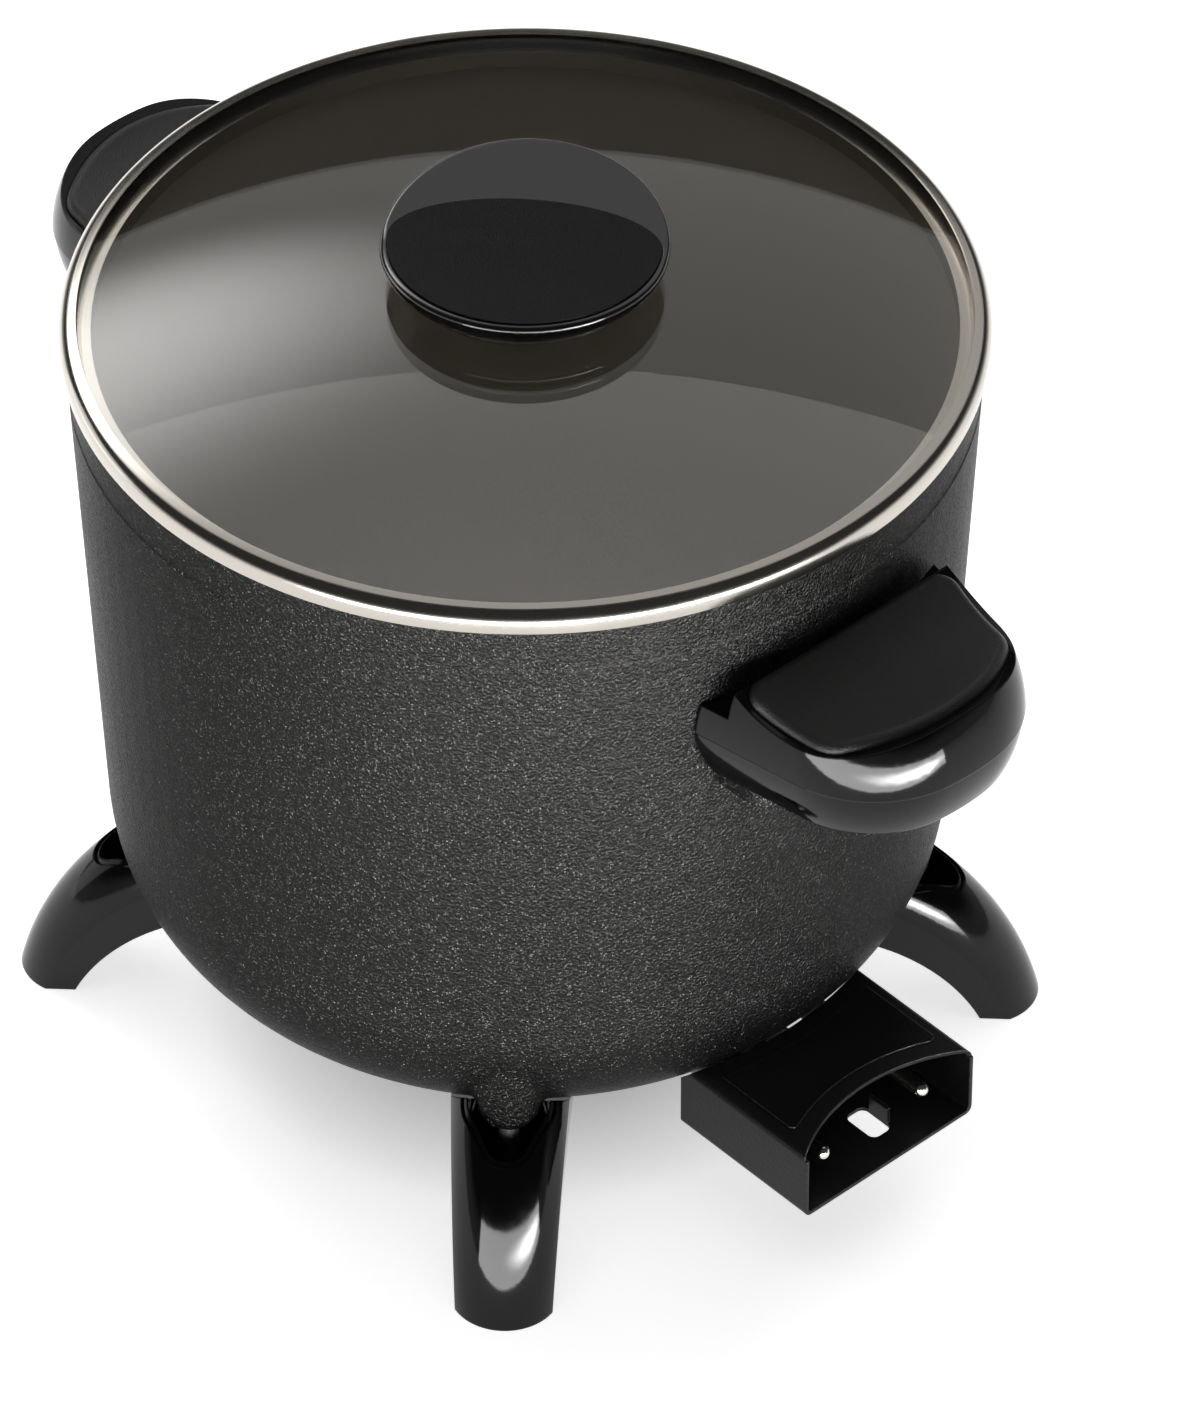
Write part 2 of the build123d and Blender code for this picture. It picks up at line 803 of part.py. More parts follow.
def knob():
    """The glossy knob body: rounded rim, seat for the grip, and a stem that takes the screw."""
    body = knob_blank() - groove_cut(knob_grip_proud)
    body = fillet(body.edges().filter_by(on_knob_rim), knob_rim_round)
    body -= knob_grip_prism(seat_gap) & groove_cut(knob_grip_thickness + seat_gap)
    stem_z = dome_z(washer_radius) + seat_gap
    body += upright(knob_stem_radius, stem_z, knob_z)
    body -= upright(knob_screw_radius + seat_gap, stem_z, knob_z + knob_screw_depth + seat_gap)
    return knob_frame(body)


def knob_grip():
    """The matte inlay in the knob's finger groove."""
    body = knob_blank() & knob_grip_prism(0) & groove_cut(knob_grip_thickness)
    return knob_frame(body - groove_cut(0))


def knob_gasket():
    """Flat ring between the knob and the glass."""
    ring = upright(gasket_radius, glass_top_z, knob_z)
    return ring - upright(knob_stem_radius + seat_gap, glass_top_z, knob_z)


def knob_washer():
    """Steel washer under the glass."""
    high = dome_z(washer_radius)
    low = high - washer_thickness
    return upright(washer_radius, low, high) - upright(knob_screw_radius + seat_gap, low, high)


def knob_screw():
    """Screw from below, through the washer into the knob's stem."""
    seat = dome_z(washer_radius) - washer_thickness
    shank = upright(knob_screw_radius, seat, knob_z + knob_screw_depth)
    return shank + upright(knob_screw_head_radius, seat - knob_screw_head, seat)


# Everything, one file for each node

def pieces():
    """Every node of the part by name."""
    right_handle = handle()
    right_grip = handle_grip()
    nodes = {
        "pot": pot(),
        "heating_element": element_tube(element_radius),
        "terminal_pin_right": terminal_pin(1),
        "terminal_pin_left": terminal_pin(-1),
        "pin_insulator_right": pin_insulator(1),
        "pin_insulator_left": pin_insulator(-1),
        "terminal_guard": terminal_guard(),
        "guard_plate": guard_plate(),
        "guard_screws": guard_screws(),
        "leg_ferrules": leg_ferrules(),
        "leg_screws": leg_screws(),
        "handle_right": right_handle,
        "handle_left": mirrored(right_handle),
        "handle_grip_right": right_grip,
        "handle_grip_left": mirrored(right_grip),
        "handle_screws": handle_screws(),
        "lid_glass": lid_glass(),
        "lid_band": lid_band(),
        "knob": knob(),
        "knob_grip": knob_grip(),
        "knob_gasket": knob_gasket(),
        "knob_washer": knob_washer(),
        "knob_screw": knob_screw(),
    }
    one_leg = leg()
    for place, angle in enumerate(leg_angles()):
        nodes[f"leg_{place + 1}"] = Rot(0, 0, angle) * one_leg
    return nodes


os.makedirs("parts", exist_ok=True)
for name, shape in pieces().items():
    export_step(shape, f"parts/{name}.step")
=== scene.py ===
"""Finishes, studio and camera for a countertop multicooker with a loose glass lid."""

from __future__ import annotations

import json
import logging
import math
from dataclasses import dataclass
from enum import Enum

import bmesh
import bpy
from mathutils import Matrix, Vector

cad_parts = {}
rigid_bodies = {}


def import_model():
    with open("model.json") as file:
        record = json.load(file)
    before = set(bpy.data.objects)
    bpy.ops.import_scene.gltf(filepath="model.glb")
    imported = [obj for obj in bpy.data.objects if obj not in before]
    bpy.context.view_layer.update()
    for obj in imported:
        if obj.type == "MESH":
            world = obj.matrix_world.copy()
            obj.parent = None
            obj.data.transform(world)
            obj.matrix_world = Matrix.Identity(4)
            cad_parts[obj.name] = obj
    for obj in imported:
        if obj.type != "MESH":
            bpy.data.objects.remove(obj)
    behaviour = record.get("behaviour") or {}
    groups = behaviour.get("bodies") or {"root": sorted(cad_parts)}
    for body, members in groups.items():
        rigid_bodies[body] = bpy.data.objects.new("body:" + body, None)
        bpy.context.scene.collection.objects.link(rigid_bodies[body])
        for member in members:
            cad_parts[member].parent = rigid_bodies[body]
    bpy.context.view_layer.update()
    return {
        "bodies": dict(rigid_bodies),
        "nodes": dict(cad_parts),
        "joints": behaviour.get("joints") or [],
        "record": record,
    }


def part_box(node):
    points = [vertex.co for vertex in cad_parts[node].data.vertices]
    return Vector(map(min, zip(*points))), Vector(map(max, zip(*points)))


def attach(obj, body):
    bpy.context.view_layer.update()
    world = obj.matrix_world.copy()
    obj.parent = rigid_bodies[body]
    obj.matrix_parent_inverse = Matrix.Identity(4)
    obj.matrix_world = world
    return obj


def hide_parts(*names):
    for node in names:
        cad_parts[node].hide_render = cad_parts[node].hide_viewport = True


log = logging.getLogger("multicooker")

Colour = tuple[float, float, float]
Place = tuple[float, float, float]
Range = tuple[float, float]
Links = dict[str | int, object]
Nodes = dict[str, bpy.types.Object]

WHITE = (1.0, 1.0, 1.0, 1.0)
LEVEL: Place = (1.0, 1.0, 0.0)
MASK: Range = (0.0, 1.0)
NOISE_SPAN: Range = (0.3, 0.7)


# Shared effects

class Effect(Enum):
    """Surface effects shared by several finishes, each one node group."""

    GRAIN = "moulding grain"
    FLECK = "metal flecks"
    RING = "turning lines"
    SMEAR = "handling smears"
    EDGE = "rounded edges"


class Graph:
    """Places and joins the nodes of one tree."""

    def __init__(self, tree: bpy.types.NodeTree) -> None:
        """Keep the tree that the nodes go into."""
        self.tree = tree

    def add(self, kind: str, links: Links | None = None, **settings: object) -> bpy.types.Node:
        """Place a node, set its properties and feed its inputs.

        Args:
            kind: Blender's name for the node's type.
            links: Input names or numbers, each with a socket to link or a plain value.
            **settings: Plain properties of the node.

        Returns:
            The new node.
        """
        node = self.tree.nodes.new(kind)
        for name, value in settings.items():
            setattr(node, name, value)
        self.feed(node, links or {})
        return node

    def feed(self, node: bpy.types.Node, links: Links) -> None:
        """Link sockets or set plain values on a node's inputs.

        Args:
            node: The node whose inputs are fed.
            links: Input names or numbers, each with a socket to link or a plain value.
        """
        for name, value in links.items():
            if isinstance(value, bpy.types.NodeSocket):
                self.tree.links.new(value, node.inputs[name])
            else:
                node.inputs[name].default_value = value

    def math(self, operation: str, first: object, second: object = 0.0) -> bpy.types.NodeSocket:
        """Put out one sum of two numbers."""
        return self.add("ShaderNodeMath", {0: first, 1: second}, operation=operation).outputs[0]

    def vector(self, operation: str, links: Links) -> bpy.types.Node:
        """Place one vector sum and return its node."""
        return self.add("ShaderNodeVectorMath", links, operation=operation)

    def noise(self, where: object, scale: object, detail: float) -> bpy.types.NodeSocket:
        """Put out a smooth noise between 0 and 1."""
        links = {"Vector": where, "Scale": scale, "Detail": detail}
        return self.add("ShaderNodeTexNoise", links).outputs["Fac"]

    def remap(self, value: object, span: Range, target: Range) -> bpy.types.NodeSocket:
        """Put out a value carried from one range to another, held at its ends."""
        links = {"Value": value, 1: span[0], 2: span[1], 3: target[0], 4: target[1]}
        return self.add("ShaderNodeMapRange", links, clamp=True).outputs[0]

    def mix(self, share: object, first: object, second: object) -> bpy.types.NodeSocket:
        """Put out a mix of two colours."""
        links = {0: share, 6: first, 7: second}
        return self.add("ShaderNodeMix", links, data_type="RGBA").outputs[2]

    def effect(self, effect: Effect, links: Links) -> bpy.types.Node:
        """Place a shared effect with its own values."""
        return self.add("ShaderNodeGroup", links, node_tree=bpy.data.node_groups[effect.value])


@dataclass(frozen=True)
class EffectLibrary:
    """Builds the node groups behind the shared effects."""

    grain_detail: float = 3.0
    slow_detail: float = 2.0
    patch_share: float = 0.02
    spot_reach: float = 0.5
    even_lean: Colour = (0.5, 0.5, 0.5)
    cloud_detail: float = 5.0
    cloud_span: Range = (0.48, 0.7)
    break_scale: float = 9.0
    break_target: Range = (0.4, 1.0)
    edge_samples: int = 6
    edge_turn: Range = (0.97, 0.8)

    def start(
        self, effect: Effect, inputs: tuple[str, ...], outputs: dict[str, str],
    ) -> tuple[Graph, bpy.types.Node, bpy.types.Node]:
        """Make an empty group with its sockets.

        Args:
            effect: The effect that the group is for.
            inputs: Names of the number inputs; Vector comes first in every group.
            outputs: Output names and their socket types.

        Returns:
            The group's graph, its input node and its output node.
        """
        tree = bpy.data.node_groups.new(effect.value, "ShaderNodeTree")
        tree.interface.new_socket("Vector", in_out="INPUT", socket_type="NodeSocketVector")
        for name in inputs:
            tree.interface.new_socket(name, in_out="INPUT", socket_type="NodeSocketFloat")
        for name, kind in outputs.items():
            tree.interface.new_socket(name, in_out="OUTPUT", socket_type=kind)
        graph = Graph(tree)
        return graph, graph.add("NodeGroupInput"), graph.add("NodeGroupOutput")

    def grain(self) -> None:
        """Fine pebbled height with a broad, slow patch."""
        graph, source, result = self.start(
            Effect.GRAIN, ("Scale",), {"Height": "NodeSocketFloat", "Patch": "NodeSocketFloat"}
        )
        where = source.outputs["Vector"]
        scale = source.outputs["Scale"]
        slow = graph.math("MULTIPLY", scale, self.patch_share)
        graph.feed(result, {
            "Height": graph.noise(where, scale, self.grain_detail),
            "Patch": graph.noise(where, slow, self.slow_detail),
        })

    def fleck(self) -> None:
        """Scattered flat flecks, each with its own tilt."""
        graph, source, result = self.start(
            Effect.FLECK,
            ("Scale", "Cover", "Tilt"),
            {"Mask": "NodeSocketFloat", "Shade": "NodeSocketFloat", "Normal": "NodeSocketVector"},
        )
        cells = graph.add(
            "ShaderNodeTexVoronoi", {"Vector": source.outputs["Vector"], "Scale": source.outputs["Scale"]}
        )
        parts = graph.add("ShaderNodeSeparateColor", {"Color": cells.outputs["Color"]})
        limit = graph.math("SUBTRACT", 1.0, source.outputs["Cover"])
        chosen = graph.math("GREATER_THAN", parts.outputs[0], limit)
        round_spot = graph.math("LESS_THAN", cells.outputs["Distance"], self.spot_reach)
        mask = graph.math("MULTIPLY", chosen, round_spot)
        spread = graph.vector("SUBTRACT", {0: cells.outputs["Color"], 1: self.even_lean})
        amount = graph.math("MULTIPLY", mask, source.outputs["Tilt"])
        lean = graph.vector("SCALE", {0: spread.outputs[0], "Scale": amount})
        face = graph.add("ShaderNodeNewGeometry").outputs["Normal"]
        tipped = graph.vector("ADD", {0: face, 1: lean.outputs[0]})
        graph.feed(result, {
            "Mask": mask,
            "Shade": parts.outputs[1],
            "Normal": graph.vector("NORMALIZE", {0: tipped.outputs[0]}).outputs[0],
        })

    def ring(self) -> None:
        """Fine lines turned round the upright axis."""
        graph, source, result = self.start(Effect.RING, ("Scale",), {"Line": "NodeSocketFloat"})
        parts = graph.add("ShaderNodeSeparateXYZ", {0: source.outputs["Vector"]})
        flat = graph.add("ShaderNodeCombineXYZ", {0: parts.outputs[0], 1: parts.outputs[1]})
        reach = graph.vector("LENGTH", {0: flat.outputs[0]}).outputs["Value"]
        place = graph.add("ShaderNodeCombineXYZ", {0: reach, 2: parts.outputs[2]})
        line = graph.noise(place.outputs[0], source.outputs["Scale"], self.slow_detail)
        graph.feed(result, {"Line": line})

    def smear(self) -> None:
        """Broken, cloudy marks left by hands and cloths."""
        graph, source, result = self.start(Effect.SMEAR, ("Scale",), {"Mask": "NodeSocketFloat"})
        where = source.outputs["Vector"]
        scale = source.outputs["Scale"]
        cloud = graph.remap(graph.noise(where, scale, self.cloud_detail), self.cloud_span, MASK)
        fine = graph.noise(where, graph.math("MULTIPLY", scale, self.break_scale), self.grain_detail)
        broken = graph.remap(fine, NOISE_SPAN, self.break_target)
        graph.feed(result, {"Mask": graph.math("MULTIPLY", cloud, broken)})

    def edge(self) -> None:
        """A rounded normal along sharp edges, and a mask of where they are."""
        graph, source, result = self.start(
            Effect.EDGE, ("Radius",), {"Normal": "NodeSocketVector", "Mask": "NodeSocketFloat"}
        )
        soft = graph.add("ShaderNodeBevel", {"Radius": source.outputs["Radius"]}, samples=self.edge_samples)
        face = graph.add("ShaderNodeNewGeometry").outputs["Normal"]
        turn = graph.vector("DOT_PRODUCT", {0: soft.outputs[0], 1: face}).outputs["Value"]
        graph.feed(result, {"Normal": soft.outputs[0], "Mask": graph.remap(turn, self.edge_turn, MASK)})

    def build(self) -> None:
        """Build every shared effect once."""
        for make in (self.grain, self.fleck, self.ring, self.smear, self.edge):
            make()


def shade(colour: Colour, factor: float = 1.0) -> tuple[float, float, float, float]:
    """Colour with an opaque alpha, lightened or darkened by a factor."""
    return (colour[0] * factor, colour[1] * factor, colour[2] * factor, 1.0)


class Surface:
    """A new material: its graph, its shader and its object coordinates."""

    def __init__(self, name: str) -> None:
        """Make a material with a single shader.

        Args:
            name: The finish's name.
        """
        self.material = bpy.data.materials.new(name)
        self.material.use_nodes = True
        self.graph = Graph(self.material.node_tree)
        self.shader = self.material.node_tree.nodes["Principled BSDF"]
        self.where = self.graph.add("ShaderNodeTexCoord").outputs["Object"]

    def effect(self, effect: Effect, **values: object) -> bpy.types.Node:
        """Place a shared effect on this material's coordinates."""
        return self.graph.effect(effect, {"Vector": self.where, **values})

    def set(self, links: Links) -> None:
        """Feed the shader's own inputs."""
        self.graph.feed(self.shader, links)

    def tones(self, share: object, colour: Colour, span: Range) -> bpy.types.NodeSocket:
        """Put out a colour that wanders between two shades of itself."""
        return self.graph.mix(share, shade(colour, span[0]), shade(colour, span[1]))

    def bump(
        self, height: object, depth: float, strength: float, normal: object = None,
    ) -> bpy.types.NodeSocket:
        """Put out a normal roughened by a height.

        Args:
            height: The height's socket.
            depth: Depth of the relief in metres.
            strength: How strongly the relief shows.
            normal: A normal to start from, if it isn't the face's own.

        Returns:
            The normal's socket.
        """
        links: Links = {"Height": height, "Distance": depth, "Strength": strength}
        if normal is not None:
            links["Normal"] = normal
        return self.graph.add("ShaderNodeBump", links).outputs["Normal"]


# Finishes

@dataclass(frozen=True)
class CoatedCasting:
    """Dark nonstick coat with fine orange peel and metal flecks outside, smoother inside; the inner walls
    carry lighter, warmer painted light and the cooking floor painted shade.
    """

    name: str = "coated casting"
    colour: Colour = (0.0280, 0.0275, 0.0268)
    # Painted light: a lighter, warmer colour for the inner walls, standing in for the light that falls on
    # them.
    painted_light_lining: Colour = (0.27, 0.24, 0.2)
    fleck_colour: Colour = (0.075, 0.0745, 0.073)
    fleck_scale: float = 2200.0
    fleck_cover: float = 0.5
    fleck_tilt: float = 1.0
    fleck_metal: float = 0.25
    peel_scale: float = 1350.0
    peel_depth: float = 0.0005
    peel_strength: float = 1.0
    peel_inside: float = 0.06
    patch_tones: Range = (0.9, 1.12)
    smear_scale: float = 22.0
    smear_rough: float = 0.05
    rough: float = 0.3
    gloss: float = 0.02
    metal: float = 0.6
    edge_tint: float = 0.45
    wall_lean: Range = (-0.02, -0.2)
    floor_reach: float = 0.1
    floor_rise: Range = (0.8, 0.9)
    # Painted shade: the cooking floor is darkened to this share of the coat's colour.
    floor_painted_shade: float = 0.35

    def inside(self, surface: Surface) -> tuple[bpy.types.NodeSocket, bpy.types.NodeSocket]:
        """Put out two masks: the walls that face the pot's own axis, and the cooking floor, where the
        painted light and painted shade go.

        Args:
            surface: The material that the masks are for.

        Returns:
            The wall's mask and the floor's mask.
        """
        graph = surface.graph
        flat = graph.vector("MULTIPLY", {0: surface.where, 1: LEVEL})
        out = graph.vector("NORMALIZE", {0: flat.outputs[0]})
        face = graph.add("ShaderNodeTexCoord").outputs["Normal"]
        lean = graph.vector("DOT_PRODUCT", {0: out.outputs[0], 1: face}).outputs["Value"]
        rise = graph.add("ShaderNodeSeparateXYZ", {0: face}).outputs[2]
        reach = graph.vector("LENGTH", {0: flat.outputs[0]}).outputs["Value"]
        near = graph.math("LESS_THAN", reach, self.floor_reach)
        bottom = graph.math("MULTIPLY", near, graph.remap(rise, self.floor_rise, MASK))
        return graph.remap(lean, self.wall_lean, MASK), bottom

    def make(self) -> bpy.types.Material:
        """Build the finish.

        Returns:
            The new material.
        """
        surface = Surface(self.name)
        graph = surface.graph
        wall, bottom = self.inside(surface)
        inside = graph.math("MAXIMUM", wall, bottom)
        outside = graph.math("SUBTRACT", 1.0, inside)
        tilt = graph.math("MULTIPLY", outside, self.fleck_tilt)
        fleck = surface.effect(Effect.FLECK, Scale=self.fleck_scale, Cover=self.fleck_cover, Tilt=tilt)
        grain = surface.effect(Effect.GRAIN, Scale=self.peel_scale)
        smear = surface.effect(Effect.SMEAR, Scale=self.smear_scale)
        patch = surface.tones(grain.outputs["Patch"], self.colour, self.patch_tones)
        # Painted shade on the cooking floor, then painted light on the inner walls.
        ground = graph.mix(bottom, patch, shade(self.colour, self.floor_painted_shade))
        ground = graph.mix(wall, ground, shade(self.painted_light_lining))
        glint = graph.math("MULTIPLY", fleck.outputs["Mask"], fleck.outputs["Shade"])
        glint = graph.math("MULTIPLY", glint, outside)
        metal = graph.math("MULTIPLY", outside, self.metal)
        metal = graph.math("ADD", metal, graph.math("MULTIPLY", glint, self.fleck_metal))
        peel_share = graph.remap(inside, MASK, (1.0, self.peel_inside))
        peel = graph.math("MULTIPLY", grain.outputs["Height"], peel_share)
        marks = (self.rough, self.rough + self.smear_rough)
        surface.set({
            "Base Color": graph.mix(glint, ground, shade(self.fleck_colour)),
            "Metallic": metal,
            "Roughness": graph.remap(smear.outputs["Mask"], MASK, marks),
            "Specular IOR Level": self.gloss,
            "Specular Tint": shade((self.edge_tint,) * 3),
            "Normal": surface.bump(peel, self.peel_depth, self.peel_strength, fleck.outputs["Normal"]),
        })
        return surface.material


@dataclass(frozen=True)
class GlossPlastic:
    """Polished black moulding with soft edges and faint handling marks."""

    name: str = "gloss black moulding"
    colour: Colour = (0.0038, 0.0038, 0.004)
    rough: float = 0.07
    gloss: float = 0.28
    tone_span: Range = (0.8, 1.3)
    grain_scale: float = 260.0
    grain_depth: float = 0.0004
    grain_strength: float = 0.03
    smear_scale: float = 60.0
    smear_rough: float = 0.05
    edge_radius: float = 0.0006

    def make(self) -> bpy.types.Material:
        """Build the finish.

        Returns:
            The new material.
        """
        surface = Surface(self.name)
        graph = surface.graph
        grain = surface.effect(Effect.GRAIN, Scale=self.grain_scale)
        smear = surface.effect(Effect.SMEAR, Scale=self.smear_scale)
        edge = surface.effect(Effect.EDGE, Radius=self.edge_radius)
        height = grain.outputs["Height"]
        marks = (self.rough, self.rough + self.smear_rough)
        surface.set({
            "Base Color": surface.tones(grain.outputs["Patch"], self.colour, self.tone_span),
            "Roughness": graph.remap(smear.outputs["Mask"], MASK, marks),
            "Specular IOR Level": self.gloss,
            "Normal": surface.bump(height, self.grain_depth, self.grain_strength, edge.outputs["Normal"]),
        })
        return surface.material


@dataclass(frozen=True)
class SoftGrip:
    """Matte black inlay with a fine spark-eroded texture."""

    name: str = "matte grip"
    colour: Colour = (0.0125, 0.0122, 0.0118)
    rough: float = 0.44
    gloss: float = 0.5
    tone_span: Range = (0.75, 1.3)
    grain_scale: float = 2600.0
    grain_depth: float = 0.0003
    grain_strength: float = 0.7
    smear_scale: float = 70.0
    smear_rough: float = -0.06

    def make(self) -> bpy.types.Material:
        """Build the finish.

        Returns:
            The new material.
        """
        surface = Surface(self.name)
        graph = surface.graph
        grain = surface.effect(Effect.GRAIN, Scale=self.grain_scale)
        smear = surface.effect(Effect.SMEAR, Scale=self.smear_scale)
        height = grain.outputs["Height"]
        marks = (self.rough, self.rough + self.smear_rough)
        surface.set({
            "Base Color": surface.tones(height, self.colour, self.tone_span),
            "Roughness": graph.remap(smear.outputs["Mask"], MASK, marks),
            "Specular IOR Level": self.gloss,
            "Normal": surface.bump(height, self.grain_depth, self.grain_strength),
        })
        return surface.material


@dataclass(frozen=True)
class TurnedMetal:
    """Bright metal with fine turning lines round the upright axis."""

    name: str
    colour: Colour
    rough: float
    rough_span: Range = (0.8, 1.25)
    tone_span: Range = (0.93, 1.04)
    line_scale: float = 5200.0
    line_depth: float = 0.0002
    line_strength: float = 0.08
    smear_scale: float = 45.0
    smear_rough: float = 0.06

    def make(self) -> bpy.types.Material:
        """Build the finish.

        Returns:
            The new material.
        """
        surface = Surface(self.name)
        graph = surface.graph
        ring = surface.effect(Effect.RING, Scale=self.line_scale)
        smear = surface.effect(Effect.SMEAR, Scale=self.smear_scale)
        line = ring.outputs["Line"]
        least, most = self.rough_span
        rough = graph.remap(line, NOISE_SPAN, (self.rough * least, self.rough * most))
        marks = graph.math("MULTIPLY", smear.outputs["Mask"], self.smear_rough)
        surface.set({
            "Base Color": surface.tones(line, self.colour, self.tone_span),
            "Metallic": 1.0,
            "Roughness": graph.math("ADD", rough, marks),
            "Normal": surface.bump(line, self.line_depth, self.line_strength),
        })
        return surface.material


@dataclass(frozen=True)
class PlatedMetal:
    """Plated or bare small metal with a fine irregular grain."""

    name: str
    colour: Colour
    rough: float
    rough_span: Range = (0.8, 1.3)
    tone_span: Range = (0.85, 1.05)
    grain_scale: float = 1400.0
    grain_depth: float = 0.0002
    grain_strength: float = 0.1
    edge_radius: float = 0.0003

    def make(self) -> bpy.types.Material:
        """Build the finish.

        Returns:
            The new material.
        """
        surface = Surface(self.name)
        graph = surface.graph
        grain = surface.effect(Effect.GRAIN, Scale=self.grain_scale)
        edge = surface.effect(Effect.EDGE, Radius=self.edge_radius)
        patch = grain.outputs["Patch"]
        height = grain.outputs["Height"]
        least, most = self.rough_span
        surface.set({
            "Base Color": surface.tones(patch, self.colour, self.tone_span),
            "Metallic": 1.0,
            "Roughness": graph.remap(patch, NOISE_SPAN, (self.rough * least, self.rough * most)),
            "Normal": surface.bump(height, self.grain_depth, self.grain_strength, edge.outputs["Normal"]),
        })
        return surface.material


@dataclass(frozen=True)
class PaintedSteel:
    """Satin black paint on folded sheet, with a pale, broken painted highlight along its edges."""

    name: str
    colour: Colour
    rough: float
    # How strongly the painted highlight lightens the edges.
    edge_highlight: float
    gloss: float = 0.2
    rough_span: Range = (0.85, 1.15)
    tone_span: Range = (0.8, 1.2)
    highlight_colour: Colour = (0.25, 0.24, 0.22)
    highlight_span: Range = (0.3, 1.0)
    grain_scale: float = 900.0
    grain_depth: float = 0.0004
    grain_strength: float = 0.18
    edge_radius: float = 0.0005

    def make(self) -> bpy.types.Material:
        """Build the finish.

        Returns:
            The new material.
        """
        surface = Surface(self.name)
        graph = surface.graph
        grain = surface.effect(Effect.GRAIN, Scale=self.grain_scale)
        edge = surface.effect(Effect.EDGE, Radius=self.edge_radius)
        patch = grain.outputs["Patch"]
        height = grain.outputs["Height"]
        # Painted highlight: the edges are lightened towards a pale colour, broken up by the grain.
        painted_highlight = graph.math("MULTIPLY", edge.outputs["Mask"], graph.remap(height, NOISE_SPAN, self.highlight_span))
        painted_highlight = graph.math("MULTIPLY", painted_highlight, self.edge_highlight)
        paint = surface.tones(patch, self.colour, self.tone_span)
        least, most = self.rough_span
        surface.set({
            "Base Color": graph.mix(painted_highlight, paint, shade(self.highlight_colour)),
            "Roughness": graph.remap(patch, NOISE_SPAN, (self.rough * least, self.rough * most)),
            "Specular IOR Level": self.gloss,
            "Normal": surface.bump(height, self.grain_depth, self.grain_strength, edge.outputs["Normal"]),
        })
        return surface.material


@dataclass(frozen=True)
class ClearGlass:
    """Clear tempered glass with a trace of grey and a few dry smears."""

    name: str = "lid glass"
    colour: Colour = (0.94, 0.93, 0.905)
    shadow: Colour = (0.6, 0.59, 0.57)
    ior: float = 1.5
    smear_scale: float = 14.0
    smear_tones: Range = (1.0, 0.985)
    smear_rough: float = 0.02

    def make(self) -> bpy.types.Material:
        """Build the finish.

        Returns:
            The new material.
        """
        surface = Surface(self.name)
        graph = surface.graph
        smear = surface.effect(Effect.SMEAR, Scale=self.smear_scale)
        surface.set({
            "Base Color": surface.tones(smear.outputs["Mask"], self.colour, self.smear_tones),
            "Roughness": graph.remap(smear.outputs["Mask"], MASK, (0.0, self.smear_rough)),
            "Metallic": 0.0,
            "Transmission Weight": 1.0,
            "IOR": self.ior,
        })
        path = graph.add("ShaderNodeLightPath")
        clear = graph.add("ShaderNodeBsdfTransparent", {"Color": shade(self.shadow)})
        both = graph.add("ShaderNodeMixShader", {
            0: path.outputs["Is Shadow Ray"], 1: surface.shader.outputs[0], 2: clear.outputs[0],
        })
        graph.feed(surface.material.node_tree.nodes["Material Output"], {"Surface": both.outputs[0]})
        return surface.material


@dataclass(frozen=True)
class Dull:
    """Dull, even stuff such as fired clay or rubber, with a fine grain."""

    name: str
    colour: Colour
    rough: float
    rough_step: float = 0.06
    tone_span: Range = (0.8, 1.15)
    grain_scale: float = 1700.0
    grain_depth: float = 0.0004
    grain_strength: float = 0.25

    def make(self) -> bpy.types.Material:
        """Build the finish.

        Returns:
            The new material.
        """
        surface = Surface(self.name)
        graph = surface.graph
        grain = surface.effect(Effect.GRAIN, Scale=self.grain_scale)
        height = grain.outputs["Height"]
        target = (self.rough - self.rough_step, self.rough + self.rough_step)
        surface.set({
            "Base Color": surface.tones(grain.outputs["Patch"], self.colour, self.tone_span),
            "Roughness": graph.remap(height, NOISE_SPAN, target),
            "Normal": surface.bump(height, self.grain_depth, self.grain_strength),
        })
        return surface.material


# Sub-assemblies

def dress(nodes: Nodes, names: tuple[str, ...], finish: bpy.types.Material) -> list[str]:
    """Give a finish to the slots of some frame nodes.

    Args:
        nodes: Frame nodes by name.
        names: The nodes to dress.
        finish: The material they get.

    Returns:
        The names that were dressed.
    """
    for name in names:
        for place in nodes[name].material_slots:
            place.material = finish
    return list(names)


@dataclass(frozen=True)
class Vessel:
    """The cast pot."""

    casting: CoatedCasting = CoatedCasting()

    def build(self, nodes: Nodes) -> list[str]:
        """Dress the pot."""
        return dress(nodes, ("pot",), self.casting.make())


@dataclass(frozen=True)
class HeatBase:
    """Heating loop, terminals and their beads."""

    sheath: PlatedMetal = PlatedMetal("element sheath", colour=(0.20, 0.185, 0.165), rough=0.42)
    nickel: PlatedMetal = PlatedMetal("nickel pin", colour=(0.80, 0.77, 0.71), rough=0.13)
    clay: Dull = Dull("fired bead", colour=(0.62, 0.58, 0.50), rough=0.55)

    def build(self, nodes: Nodes) -> list[str]:
        """Dress the loop, the pins and the beads.

        Args:
            nodes: Frame nodes by name.

        Returns:
            The names that were dressed.
        """
        done = dress(nodes, ("heating_element",), self.sheath.make())
        done += dress(nodes, ("terminal_pin_right", "terminal_pin_left"), self.nickel.make())
        return done + dress(nodes, ("pin_insulator_right", "pin_insulator_left"), self.clay.make())


@dataclass(frozen=True)
class Guard:
    """Folded guard with its plain plate."""

    paint: PaintedSteel = PaintedSteel("guard paint", colour=(0.010, 0.010, 0.010), rough=0.34, edge_highlight=0.75)
    plate: PaintedSteel = PaintedSteel("plate paint", colour=(0.007, 0.007, 0.007), rough=0.22, edge_highlight=0.7)

    def build(self, nodes: Nodes) -> list[str]:
        """Dress the folded sheet and its plate."""
        done = dress(nodes, ("terminal_guard",), self.paint.make())
        return done + dress(nodes, ("guard_plate",), self.plate.make())


